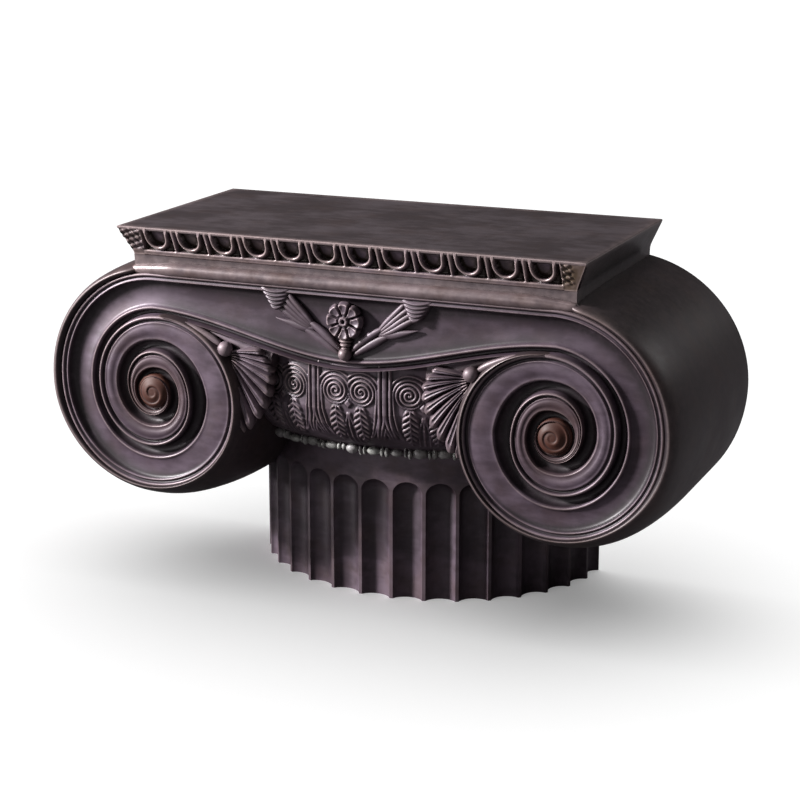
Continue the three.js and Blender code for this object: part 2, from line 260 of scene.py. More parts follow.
def rub(made: bpy.types.Object, spread: int, reach: float = 2.2, passes: int = 2,
        full: float = 1.7) -> None:
    """Store how sharply each point bends out and how deep it lies, for wear and for the dark of hollows:
    patina there and painted shade.

    Args:
        made: the piece.
        spread: how often the shape is evened out, to tell what lies deep.
        reach: the edge radius in millimetres that counts as fully worn.
        passes: how often the bend's values are evened out.
        full: the depth in millimetres that counts as a full hollow.
    """
    data = made.data
    count = len(data.vertices)

    def read(kind: str) -> np.ndarray:
        """One of the vertices' triples."""
        values = np.zeros(count * 3)
        data.vertices.foreach_get(kind, values)
        return values.reshape(-1, 3)

    co = read("co") / MM
    normal = read("normal")
    pairs = np.zeros(len(data.edges) * 2, dtype=np.int64)
    data.edges.foreach_get("vertices", pairs)
    a, b = pairs.reshape(-1, 2).T
    gap = co[b] - co[a]
    shortest = 0.05
    length2 = np.maximum((gap**2).sum(1), shortest)
    hits = np.bincount(a, minlength=count) + np.bincount(b, minlength=count)

    def around(values: np.ndarray) -> np.ndarray:
        """The mean of each point and its neighbours."""
        total = values + np.bincount(a, values[b], count) + np.bincount(b, values[a], count)
        return total / (hits + 1.0)

    bend = np.bincount(a, -2.0 * (normal[a] * gap).sum(1) / length2, count)
    bend += np.bincount(b, 2.0 * (normal[b] * gap).sum(1) / length2, count)
    worn = np.clip(bend / np.maximum(hits, 1.0) * reach, -1.0, 1.0)
    for _ in range(passes):
        worn = around(worn)
    even = co.T.copy()
    for _ in range(spread):
        even = np.array([around(line) for line in even])
    deep = np.clip(((even.T - co) * normal).sum(1) / full, -1.0, 1.0)
    for name, values in (("worn", worn), ("deep", around(deep))):
        layer = data.attributes.new(name, "FLOAT", "POINT")
        layer.data.foreach_set("value", (values * 0.5 + 0.5).astype(np.float32))


class Socket:
    """A node's output that adds Math nodes when it is used in an expression."""

    def __init__(self, dress: "Dress", output: bpy.types.NodeSocket) -> None:
        """Keep the output and the tree that it is in."""
        self.dress = dress
        self.output = output

    def _math(self, operation: str, *values: Any) -> "Socket":
        """A Math node of one operation on values."""
        return self.dress.node("ShaderNodeMath", {"operation": operation}, dict(enumerate(values)))

    def __add__(self, other: Any) -> "Socket":
        """The sum."""
        return self._math("ADD", self, other)

    __radd__ = __add__

    def __mul__(self, other: Any) -> "Socket":
        """The product."""
        return self._math("MULTIPLY", self, other)

    __rmul__ = __mul__

    def __sub__(self, other: Any) -> "Socket":
        """The difference."""
        return self._math("SUBTRACT", self, other)

    def __rsub__(self, other: Any) -> "Socket":
        """The difference, the other way round."""
        return self._math("SUBTRACT", other, self)

    def span(self, low: float, high: float) -> "Socket":
        """This value as a share of the way from low to high, held between 0 and 1."""
        return self.dress.node("ShaderNodeMapRange", {"clamp": True, "interpolation_type": "SMOOTHSTEP"},
                               {"Value": self, "From Min": low, "From Max": high})


class Dress:
    """A material or a world under construction."""

    def __init__(self, made: bpy.types.ID) -> None:
        """Start it empty."""
        self.made = made
        made.use_nodes = True
        self.tree = made.node_tree
        self.tree.nodes.clear()

    def node(self, kind: str, settings: dict[str, Any] | None = None,
             inputs: dict[Any, Any] | None = None, output: int | str = 0) -> Socket:
        """Add a node.

        Args:
            kind: the node's type.
            settings: attributes that are set before its sockets.
            inputs: values or sockets, by input name or number.
            output: the output that is wanted.

        Returns:
            The wanted output.
        """
        made = self.tree.nodes.new(kind)
        for key, value in (settings or {}).items():
            setattr(made, key, value)
        for key, value in (inputs or {}).items():
            if isinstance(value, Socket):
                self.tree.links.new(value.output, made.inputs[key])
            else:
                made.inputs[key].default_value = value
        return Socket(self, made.outputs[output])

    def noise(self, place: Socket, size: float, detail: float = 3.0, rough: float = 0.55) -> Socket:
        """Noise between 0 and 1 whose blotches are about a size in millimetres."""
        return self.node("ShaderNodeTexNoise", {"noise_dimensions": "3D"},
                         {"Vector": place, "Scale": 1.0 / (size * MM), "Detail": detail, "Roughness": rough})

    def stretch(self, place: Socket, scale: Sequence[float]) -> Socket:
        """A place scaled along its three axes."""
        return self.node("ShaderNodeMapping", None, {"Vector": place, "Scale": tuple(scale)})

    def axes(self, place: Socket) -> list[Socket]:
        """The x, y and z of a place."""
        parts = self.node("ShaderNodeSeparateXYZ", None, {"Vector": place})
        return [Socket(self, output) for output in parts.output.node.outputs]

    def tint(self, share: Any, below: Any, above: Any) -> Socket:
        """A colour between two, by a share."""
        return self.node("ShaderNodeMix", {"data_type": "RGBA", "clamp_factor": True},
                         {0: share, 6: opaque(below), 7: opaque(above)}, 2)

    def finish(self, surface: Socket, output: str = "ShaderNodeOutputMaterial") -> Any:
        """Link the surface to an output, and give back what is finished."""
        out = self.tree.nodes.new(output)
        self.tree.links.new(surface.output, out.inputs["Surface"])
        return self.made


def opaque(colour: Any) -> Any:
    """A colour with full alpha. A socket stays as it is."""
    return colour if isinstance(colour, Socket) else (*colour, 1.0)


# Plain colours of the studio and of the cut back
WHITE = (1.0, 1.0, 1.0)
PAPER = (0.88, 0.88, 0.88)
FELT = (0.22, 0.21, 0.22)
OCHRE = (0.075, 0.047, 0.022)
SAWN_DARK = (0.030, 0.022, 0.026)
SAWN_LIGHT = (0.062, 0.047, 0.053)

# Sizes of the finish's blotches, streaks and pits, and where its local tones begin and are full
BROAD_SIZE = 90.0
WARM_SIZE = 40.0
STREAK_SIZE = 12.0
STREAK_PULL = (0.35, 1.0, 1.0)
FINE_SIZE = 9.0
PIT_SIZE = 2.4
PIT_DEPTH = 1.2
SAWN_SPAN = (BACK_Y - 3.4, BACK_Y - 2.2)
EYE_TONE_SPAN = (16.0, 62.0)
OCHRE_SPAN = (258.0, 276.0)
COAT_ROUGHNESS = 0.28


@dataclass(frozen=True)
class Bronze:
    """Dark brown-black patina over cast bronze, rubbed light where it stands proud, darker in its hollows:
    patina there and painted shade.
    """

    name: str = "patina_main"
    base: Colour = (0.040, 0.026, 0.036)
    cloud: Colour = (0.080, 0.056, 0.076)
    rubbed: Colour = (0.36, 0.27, 0.265)
    # The colour of hollows and creases: patina there, and painted shade.
    hollow: Colour = (0.010, 0.006, 0.008)
    warm: Colour = (0.050, 0.026, 0.020)
    warmth: float = 0.22
    rub: float = 0.40
    # How strongly hollows and creases darken: dirt and painted shade.
    dirt_and_shade: float = 1.0
    eye_warmth: float = 0.0
    ochre_end: float = 0.0
    coat: float = 0.12
    gloss: float = 0.5
    spread: int = 14
    metallic: float = 0.30
    rough_low: float = 0.34
    rough_high: float = 0.50
    grain: float = 0.10

    def material(self) -> bpy.types.Material:
        """The finish as a material, made once."""
        if self.name in bpy.data.materials:
            return bpy.data.materials[self.name]
        dress = Dress(bpy.data.materials.new(self.name))
        place = dress.node("ShaderNodeTexCoord", None, None, "Object")
        worn = dress.node("ShaderNodeAttribute", {"attribute_name": "worn"}, None, "Fac")
        deep = dress.node("ShaderNodeAttribute", {"attribute_name": "deep"}, None, "Fac")
        broad = dress.noise(place, BROAD_SIZE, detail=4.0, rough=0.6)
        fine = dress.noise(place, FINE_SIZE, detail=5.0, rough=0.65)
        streak = dress.noise(dress.stretch(place, STREAK_PULL), STREAK_SIZE)
        tone = dress.tint((broad * 0.6 + streak * 0.4).span(0.40, 0.62), self.base, self.cloud)
        warmer = dress.noise(place, WARM_SIZE, detail=4.0, rough=0.6).span(0.45, 0.72)
        tone = dress.tint(warmer * self.warmth, tone, self.warm)
        if self.eye_warmth:
            tone = dress.tint(self.near_eyes(dress, place) * self.eye_warmth, tone, self.warm)
        if self.ochre_end:
            tone = dress.tint(self.right_end(dress, place) * self.ochre_end, tone, OCHRE)
        # Hollows and creases darken towards the hollow colour: partly patina, partly painted shade in place
        # of occlusion.
        sunk = ((0.5 - worn) * 0.6 + (deep - 0.5)).span(0.03, 0.34) * self.dirt_and_shade
        dirt_and_shade_colour = dress.tint(sunk * (fine.span(0.2, 0.6) * 0.3 + 0.65), tone, self.hollow)
        proud = (worn * 0.7 + (1.0 - deep) * 0.3 + (fine - 0.5) * 0.2).span(0.57, 0.88) * self.rub
        sawn = dress.axes(place)[1].span(*(end * MM for end in SAWN_SPAN))
        plain = dress.tint((broad * 0.5 + fine * 0.5).span(0.38, 0.62), SAWN_DARK, SAWN_LIGHT)
        colour = dress.tint(sawn, dress.tint(proud, dirt_and_shade_colour, self.rubbed), plain)
        rough = (fine * 0.35 + broad * 0.65).span(0.3, 0.7) * (self.rough_high - self.rough_low)
        rough = rough + self.rough_low - proud * 0.08
        bumps = dress.noise(place, PIT_SIZE, detail=3.0, rough=0.6) * 0.5 + fine * 0.5
        normal = dress.node("ShaderNodeBump", None,
                            {"Strength": self.grain, "Distance": PIT_DEPTH * MM, "Height": bumps})
        return dress.finish(dress.node("ShaderNodeBsdfPrincipled", None, {
            "Base Color": colour, "Roughness": rough, "Metallic": self.metallic, "Normal": normal,
            "Coat Weight": self.coat, "Coat Roughness": COAT_ROUGHNESS, "Specular IOR Level": self.gloss,
        }))

    def near_eyes(self, dress: Dress, place: Socket) -> Socket:
        """The share of the reddish tone that gathers round both eyes."""
        x, _, z = dress.axes(place)
        off_x = dress.node("ShaderNodeMath", {"operation": "ABSOLUTE"}, {0: x}) - SCROLL.eye_x * MM
        off_z = z - SCROLL.eye_z * MM
        return 1.0 - (off_x * off_x + off_z * off_z).span(*((end * MM) ** 2 for end in EYE_TONE_SPAN))

    def right_end(self, dress: Dress, place: Socket) -> Socket:
        """The share of the ochre tone at the right end of the egg band."""
        return dress.axes(place)[0].span(*(end * MM for end in OCHRE_SPAN))


PATINA = Bronze()
FACE_PATINA = Bronze(
    "patina_face", warm=(0.046, 0.022, 0.017), rub=0.27, eye_warmth=0.55, rough_low=0.42, rough_high=0.56,
    coat=0.06, gloss=0.38)
# Lighter, more strongly rubbed patina on the roll: a painted highlight along it.
ROLL_HIGHLIGHT_PATINA = Bronze(
    "patina_roll_painted_highlight", base=(0.058, 0.041, 0.046), cloud=(0.112, 0.082, 0.088), warmth=0.6, rub=0.6,
    rough_low=0.30, rough_high=0.42)
SLAB_PATINA = Bronze("patina_slab", base=(0.038, 0.027, 0.030), cloud=(0.064, 0.049, 0.055), rub=0.50)
# Lighter patina on the drum, with weaker darkening in its flutes: painted light for its lit flutes.
DRUM_LIT_PATINA = Bronze(
    "patina_drum_painted_light", base=(0.048, 0.033, 0.043), cloud=(0.094, 0.067, 0.088), hollow=(0.016, 0.011, 0.014),
    rub=0.10, dirt_and_shade=0.45, warmth=0.4)
# Darker patina on both bolsters: painted shade, for the right bolster's side that faces away from the key
# light.
BOLSTER_SHADE_PATINA = Bronze(
    "patina_bolster_painted_shade", base=(0.022, 0.014, 0.016), cloud=(0.032, 0.021, 0.025), warmth=0.35, rub=0.25,
    metallic=0.18, rough_low=0.44, rough_high=0.58, coat=0.04, gloss=0.38)
SPRAY_PATINA = Bronze("patina_spray", rub=0.06, dirt_and_shade=0.9, rough_low=0.46, rough_high=0.62, coat=0.04)
CARVED_PATINA = Bronze(
    "patina_carved", cloud=(0.094, 0.067, 0.086), rub=0.34, rough_low=0.44, rough_high=0.60, coat=0.05)
EYE_PATINA = Bronze(
    "patina_eye", base=(0.034, 0.010, 0.007), cloud=(0.052, 0.018, 0.012), rubbed=(0.16, 0.08, 0.06),
    warmth=0.5, rub=0.16, metallic=0.05, rough_low=0.50, rough_high=0.62, coat=0.0, gloss=0.22)
# The eggs darken more strongly over wider hollows: painted shade in the hollows under the slab's edge.
EGG_PATINA = Bronze(
    "patina_eggs", base=(0.060, 0.043, 0.042), hollow=(0.020, 0.012, 0.009), warmth=0.5, rub=0.62,
    ochre_end=0.7, spread=60, dirt_and_shade=1.15)
BEAD_PATINA = Bronze(
    "patina_beads", base=(0.085, 0.083, 0.078), rubbed=(0.30, 0.30, 0.28), rub=0.8, rough_low=0.50,
    rough_high=0.66, grain=0.55, coat=0.0)


@dataclass
class Volute:
    """The scroll line, counted in quarter turns from the top outwards."""

    eye_x: float = 262.0
    eye_z: float = 261.0
    radii: tuple[float, ...] = (151, 131, 122, 113, 97, 76, 69, 52, 53, 34, 29, 22, 20)

    def radius(self, quarters: np.ndarray) -> np.ndarray:
        """The scroll line's distance from the eye."""
        line = np.array(self.radii, float)
        last = len(line) - 1
        whole = np.clip(np.floor(quarters), 0, last - 1).astype(int)
        t = np.clip(quarters - whole, 0.0, 1.0)
        before = line[np.clip(whole - 1, 0, last)]
        here = line[whole]
        there = line[whole + 1]
        after = line[np.clip(whole + 2, 0, last)]
        return hermite(t, (here, there), ((there - before) / 2, (after - here) / 2))

    def point(self, quarters: np.ndarray, radius: np.ndarray, y: np.ndarray) -> np.ndarray:
        """A point of the right volute."""
        angle = quarters * math.pi / 2
        return stacked(self.eye_x + radius * np.sin(angle), y, self.eye_z + radius * np.cos(angle))


SCROLL = Volute()


@dataclass
class ScrollFace:
    """The front of both volutes and the sunk band between them, swept as one winding channel."""

    steps: int = 26
    middle_steps: int = 88
    top_z: float = 412.0
    bead_z: float = 315.0
    bead_rise: float = 43.0
    crest_y: float = -144.0
    edge_depth: float = 1.7
    full_width: float = 44.0
    thin_width: float = 26.0
    gaps: tuple[float, ...] = (9, 12, 15, 21, 13, 17, 14, 17, 11, 6, 4, 2, 1)

    def lower(self, x: np.ndarray) -> np.ndarray:
        """The height of the lower bead's edge."""
        return self.bead_z + self.bead_rise * smooth(np.abs(x) / SCROLL.eye_x)

    def section(self, width: np.ndarray, gap: np.ndarray, quarters: np.ndarray,
                v: np.ndarray) -> tuple[np.ndarray, np.ndarray]:
        """The channel's cross-section.

        Args:
            width: from one lip's outer edge to the next.
            gap: from the bead's crest to the next lip.
            quarters: quarter turns from the top, 0 along the straight band.
            v: share of the section's points.

        Returns:
            The distance from the outer edge, and the depth below the crest.
        """
        outer_d = (0, 0.9, 2.0, 3.1, 4.0, 4.7, 5.4, 6.4, 7.4, 8.1, 8.8, 9.8, 10.8, 12.0)
        first_h = (1.8, 0.7, 0.2, 0.5, 2.2, 3.0, 3.2, 3.0, 2.2, 1.7, 2.2, 4.4, 6.4, 8.2)
        inner_h = (1.6, 0.4, 0.0, 0.4, 1.8, 3.6, 4.6, 4.8, 4.0, 2.8, 2.2, 2.5, 2.5, 2.4)
        bead_d = (6.5, 4.6, 3.2, 2.0, 0.8, -0.4, -1.6)
        bead_h = (9.2, 8.6, 7.0, 5.2, 4.6, 5.4, 8.2)
        band_h = (3.0, 3.3, 3.2, 3.0, 3.8, 6.4, 9.6)
        trough = ((0.78, 13.4), (0.5, 14.6), (0.24, 14.0))
        wall = ((1.9, 11.6), (1.2, 8.0), (0.6, 4.4), (0.0, 1.8))
        plateau = 9
        scale = np.clip(width / self.full_width, 0.0, 1.0)
        shrink = np.clip(width / self.thin_width, 0.0, 1.0) ** 0.8
        turned = smooth((quarters - 1.2) / 1.8)
        start = outer_d[-1] * scale
        stop = width - gap - bead_d[0] * scale
        sink = mix(0.82, 1.0, np.clip(gap / 14.0, 0, 1))
        lines = []
        for d, first, inner in zip(outer_d, first_h, inner_h):
            lines.append((d * scale, mix(first, inner, turned)))
        for share in np.arange(1, plateau + 1) / (plateau + 1):
            bow = math.sin(math.pi * share) ** 0.8
            first = 8.2 + 0.8 * share + 2.4 * bow
            inner = 2.4 + 0.8 * share - 0.9 * bow
            lines.append((mix(start, stop, share), mix(first, inner, turned)))
        for d, first, inner in zip(bead_d, bead_h, band_h):
            lines.append((width - gap - d * scale, mix(first, inner, turned)))
        lines += [(width - gap * share, h * sink) for share, h in trough]
        lines += [(width - d * scale, h) for d, h in wall]
        table = np.array([np.broadcast_arrays(*line, width)[:2] for line in lines])
        index = np.rint(v * (len(lines) - 1)).astype(int)
        distance, depth = table[index, :, np.arange(len(v))].T
        return distance, depth * shrink

    def build(self) -> None:
        """Sweep the face and give it its thickness."""
        turns = (len(SCROLL.radii) - 1) * self.steps
        columns = 2 * turns + self.middle_steps
        rows = 36

        def place(u: np.ndarray, v: np.ndarray) -> np.ndarray:
            """The carved front."""
            i = np.rint(u * columns).astype(int)
            right = i <= turns
            left = i >= turns + self.middle_steps
            quarters = np.where(right, (turns - i) / self.steps, 0.0)
            quarters = np.where(left, (i - turns - self.middle_steps) / self.steps, quarters)
            x = mix(SCROLL.eye_x, -SCROLL.eye_x, np.clip((i - turns) / self.middle_steps, 0, 1))
            straight = ~(right | left)
            outer = np.where(straight, self.top_z, SCROLL.radius(quarters))
            next_turn = np.minimum(quarters + QUARTERS_PER_TURN, len(SCROLL.radii) - 1)
            inner = np.where(straight, self.lower(x), SCROLL.radius(next_turn))
            width = np.maximum(outer - inner, 0.0)
            gap = np.interp(quarters, np.arange(len(self.gaps)), self.gaps)
            middle_gap = mix(9.0, self.gaps[0], smooth(np.abs(x) / SCROLL.eye_x))
            gap = np.minimum(np.where(straight, middle_gap, gap), width * 0.4)
            distance, depth = self.section(width, gap, quarters, v)
            rise = outer - distance
            depth = np.where((v > 0.999) | (v < 0.001), self.edge_depth, depth)
            y = self.crest_y + depth
            turned = SCROLL.point(quarters, rise, y)
            turned[:, 0] *= np.where(left, -1.0, 1.0)
            flat = stacked(x, y, rise)
            return np.where(straight[:, None], flat, turned)

        form = Form().slab(columns, rows, place, lambda co: Vector((co.x, BED_Y, co.z)))
        form.piece("scroll_face", FACE_PATINA, 75.0)


@dataclass
class Bolster:
    """The drum-shaped side behind one volute, swelling towards the back, with its rounded front rim."""

    side: Side
    swell: tuple[float, ...] = (15, 24, 34, 28, 2)
    delay: tuple[float, ...] = (0.8, 1, 2.8, 2.4, 1)
    profile: tuple[tuple[float, float], ...] = (
        (0.0, -140.0), (0.14, -145.5), (0.32, -148.0), (0.52, -143.0), (0.7, -129.0),
        (0.86, -98.0), (0.96, -45.0), (1.0, 20.0), (1.0, 152.0))

    def build(self) -> None:
        """Build the rings from the face's edge to the back."""
        around = 120
        rows = 30
        caps = 2
        last = len(self.profile) - 1
        shares, depths = np.array(self.profile).T
        cap_y = BED_Y - 3.0
        cap_inset = 4.0
        seam_width = 0.12

        def curve(values: np.ndarray, t: np.ndarray) -> np.ndarray:
            """A smooth curve through the profile's values."""
            slopes = np.gradient(values)
            slopes[-1] = values[-1] - values[-2]
            i = np.clip(np.floor(t), 0, len(values) - 2).astype(int)
            return hermite(t - i, (values[i], values[i + 1]), (slopes[i], slopes[i + 1]))

        def place(u: np.ndarray, v: np.ndarray) -> np.ndarray:
            """The bolster's skin with both ends closed."""
            quarters = u * QUARTERS_PER_TURN
            whole = np.minimum(np.floor(quarters), QUARTERS_PER_TURN - 1).astype(int)
            part = smooth(quarters - whole)
            swell, delay = (mix(line[whole], line[whole + 1], part)
                            for line in (np.array(self.swell, float), np.array(self.delay, float)))
            row = v * (rows + 2 * caps) - caps
            t = np.clip(row / rows, 0.0, 1.0) * last
            share = np.clip(curve(shares, t), 0.0, 1.0)
            straight = mix(depths[-2], BACK_Y, np.clip(t - last + 1, 0, 1))
            y = np.where(t >= last - 1, straight, curve(depths, t))
            radius = SCROLL.radius(quarters) - 0.6 + swell * np.maximum(share, 1e-6) ** delay
            seam = np.minimum(smooth(quarters / seam_width),
                              smooth((QUARTERS_PER_TURN - quarters) / seam_width))
            y = np.where(y < BED_Y - 2.0, mix(np.maximum(y, -130.0), y, seam), y)
            front = row < -0.5
            radius = np.where(front, radius - cap_inset, radius)
            places = SCROLL.point(quarters, radius, np.where(front, cap_y, y))
            places[row < -caps + 0.5] = (SCROLL.eye_x, cap_y, SCROLL.eye_z)
            places[row > rows + caps - 0.5] = (SCROLL.eye_x, BACK_Y, SCROLL.eye_z)
            places[:, 0] *= self.side.value
            return places

        form = Form().sheet(around, rows + 2 * caps, place)
        seam_edges = [e for e in form.mesh.edges if len(e.link_faces) == 1]
        bmesh.ops.holes_fill(form.mesh, edges=seam_edges, sides=0)
        bmesh.ops.triangulate(form.mesh, faces=[f for f in form.mesh.faces if len(f.verts) > 4])
        bmesh.ops.recalc_face_normals(form.mesh, faces=form.mesh.faces)
        form.piece(f"bolster_{self.side.word}", BOLSTER_SHADE_PATINA, 60.0)


@dataclass
class Beam:
    """The plain block behind the sunk band, the half-round roll above it and the eyes."""

    face: ScrollFace
    top_z: float = 424.0
    half_length: float = 266.0
    roll_z: float = 418.0
    roll_y: float = -139.5
    roll_radius: float = 8.5
    eye_radius: float = 22.0
    eye_bulge: float = 10.5
    eye_ring_pitch: float = 11.0

    def build(self) -> None:
        """Build the block, the roll and both eyes."""
        def block(u: np.ndarray, v: np.ndarray) -> np.ndarray:
            """The block's hidden front."""
            x = mix(-self.half_length, self.half_length, u)
            return stacked(x, BED_Y - 2.0, mix(self.face.lower(x) + 0.5, self.top_z, v))

        Form().slab(64, 10, block, lambda co: Vector((co.x, BACK_Y - 0.4, co.z))).piece("beam", PATINA)

        def roll(u: np.ndarray, v: np.ndarray) -> np.ndarray:
            """The roll, running out into both rims."""
            x = mix(-self.half_length - 26.0, self.half_length + 26.0, v)
            past = np.clip((np.abs(x) - 236.0) / 56.0, 0.0, 1.0)
            radius = self.roll_radius * np.where((v < 1e-4) | (v > 1 - 1e-4), 0.0, mix(1.0, 0.55, past))
            angle = u * FULL_TURN
            return stacked(x, self.roll_y + past * 2.0 + radius * np.cos(angle),
                           self.roll_z - 3.0 * past + radius * np.sin(angle))

        Form().sheet(28, 72, roll).piece("canalis_roll", ROLL_HIGHLIGHT_PATINA)
        for side in Side:
            self.eye(side)

    def eye(self, side: Side) -> None:
        """Build one eye: a dome with a faint ridge wound round it."""
        def dome(u: np.ndarray, v: np.ndarray) -> np.ndarray:
            """The dome's skin from its front pole to a closed back."""
            angle = u * FULL_TURN
            reach = np.minimum(v * 1.25, 1.0)
            radius = self.eye_radius * reach
            dome_share = (radius / (self.eye_radius + 1.0)) ** 2
            bulge = self.eye_bulge * np.sqrt(np.clip(1.0 - dome_share, 0.0, 1.0))
            wound = (radius / self.eye_ring_pitch + angle / FULL_TURN + 0.35) % 1.0
            swirl = 1.5 * smooth((radius - 3.0) / 4.0) * smooth((20.0 - radius) / 3.0)
            ring = swirl * smooth(wound / 0.22) * smooth((1.0 - wound) / 0.7)
            behind = np.clip((v - 0.8) / 0.2, 0.0, 1.0)
            y = mix(-136.0 - bulge - ring, BED_Y - 1.0, behind)
            radius = np.where(v > 0.999, 0.0, radius)
            return stacked((SCROLL.eye_x + radius * np.sin(angle)) * side.value, y,
                           SCROLL.eye_z + radius * np.cos(angle))

        Form().sheet(72, 40, dome).piece(f"eye_{side.word}", EYE_PATINA)


@dataclass
class Abacus:
    """The flared slab on top, with its row of eggs and darts."""

    half: float = 300.0
    back_y: float = BACK_Y - 0.8
    inset: float = 15.0
    eggs: int = 12
    pitch: float = 45.0
    sink: float = 9.0
    sunk_band: tuple[float, float] = (436.0, 464.0)
    band_z: tuple[float, float] = (433.6, 468.6)
    egg_z: float = 458.0
    rim_radius: float = 13.8
    rim_width: float = 5.4
    egg_radius: float = 9.6
    flare: tuple[tuple[float, float], ...] = (
        (408, 15), (428, 15), (433, 14.8), (437, 14.0), (441, 12.4), (448, 9.2), (455, 6.0), (462, 2.8),
        (466.6, 0.7), (468.8, 0.0), (469.6, 0.5), (470, 1.4))

    def build(self) -> None:
        """Build the slab and the egg band."""
        form = Form()
        foot_z = self.flare[0][0]
        bmesh.ops.create_grid(form.mesh, x_segments=60, y_segments=30, size=1.0)
        bmesh.ops.scale(form.mesh, vec=(self.half - self.inset, 1.0, 1.0), verts=form.mesh.verts)
        for vertex in form.mesh.verts:
            vertex.co.y = mix(self.inset - BACK_Y, self.back_y, vertex.co.y / 2.0 + 0.5)
            vertex.co.z = foot_z
        rim = form.mesh.faces[:]
        reach, front, level = self.inset, self.inset, foot_z
        for z, inset in self.flare[1:]:
            made = bmesh.ops.extrude_face_region(form.mesh, geom=rim, use_keep_orig=True)
            if level > foot_z:
                bmesh.ops.delete(form.mesh, geom=rim, context="FACES")
            rim = [item for item in made["geom"] if isinstance(item, bmesh.types.BMFace)]
            sunk = inset + self.sink if self.sunk_band[0] < z < self.sunk_band[1] else inset
            for item in made["geom"]:
                if isinstance(item, bmesh.types.BMVert):
                    wide = (self.half - inset) / (self.half - reach)
                    share = (self.back_y - item.co.y) / (self.back_y + BACK_Y - front)
                    item.co = (item.co.x * wide, self.back_y - share * (self.back_y + BACK_Y - sunk), z)
            reach, front, level = inset, sunk, z
        bmesh.ops.recalc_face_normals(form.mesh, faces=form.mesh.faces)
        form.piece("abacus", SLAB_PATINA, 40.0)
        self.egg_band()

    def inset_at(self, z: np.ndarray) -> np.ndarray:
        """How far the flared edge lies inside the top's outline at a height."""
        return np.interp(z, *zip(*self.flare))

    def egg_band(self) -> None:
        """Build the eggs: open rims with a hollow and a small egg, with darts between them."""
        def place(u: np.ndarray, v: np.ndarray) -> np.ndarray:
            """The carved band."""
            x = mix(-self.half + 0.6, self.half - 0.6, u)
            z = mix(*self.band_z, v)
            index = np.clip(np.floor(x / self.pitch), -self.eggs / 2, self.eggs / 2 - 1)
            across = x - (index + 0.5) * self.pitch
            drop = np.maximum(self.egg_z - z, 0.0)
            lift = np.maximum(z - self.egg_z, 0.0)
            radius = np.hypot(across * (1.0 - 0.006 * lift), drop * 0.96)
            rim = ridge(radius - self.rim_radius, self.rim_width)
            inside = smooth((11.9 - radius) / 1.4)
            egg = np.sqrt(np.clip(1.0 - (radius / self.egg_radius) ** 2, 0.0, 1.0))
            beside = smooth((radius - 16.2) / 1.3)
            off = self.pitch / 2.0 - np.abs(across)
            taper = np.clip((z - 438.0) / 26.0, 0.0, 1.0)
            dart = ridge(off, 3.6 + 4.4 * taper) * smooth((z - 438.5) / 4.0)
            slit = ridge(off - 4.4 - 0.8 * taper, 2.2) * smooth((z - 439.5) / 2.0)
            slit *= smooth((460.0 - z) / 5.0)
            height = -3.6 + 6.0 * rim - 3.6 * inside + 2.2 * egg * inside
            height += beside * (-1.4 + 5.4 * dart - 2.6 * slit)
            top = smooth((z - 467.2) / 0.8)
            foot = smooth((z - 439.0) / 3.5)
            height = mix(height, 0.3, top) * foot + 0.4 * (1.0 - foot)
            height -= 1.4 * smooth(434.8 - z)
            end = np.abs(x) > self.eggs / 2 * self.pitch
            leaf = (np.sin(x * 0.62 + z * 0.5) + np.sin(x * 0.31 - z * 0.83)
                    + 0.7 * np.sin(x * 1.13 + z * 1.27)) * 0.8
            height = np.where(end, (leaf - 0.6) * foot * (1 - top), height)
            fade = np.clip((self.half - 16.0 - np.abs(x)) / 4.0, -1.0, 1.0)
            corner = self.half - self.inset_at(z)
            x = np.clip(x, -corner + 0.4, corner - 0.4)
            height = np.where(end & (x > 0), mix(-0.4, height, np.clip(fade, 0, 1)), height)
            return stacked(x, np.maximum(self.inset_at(z) - BACK_Y - height, FRONT_LIMIT), z)

        def back(co: Vector) -> Vector:
            """A place inside the slab."""
            return Vector((co.x * 0.985, co.y + 12.0, co.z))

        Form().slab(640, 34, place, back).piece("abacus_eggs", EGG_PATINA, 75.0)


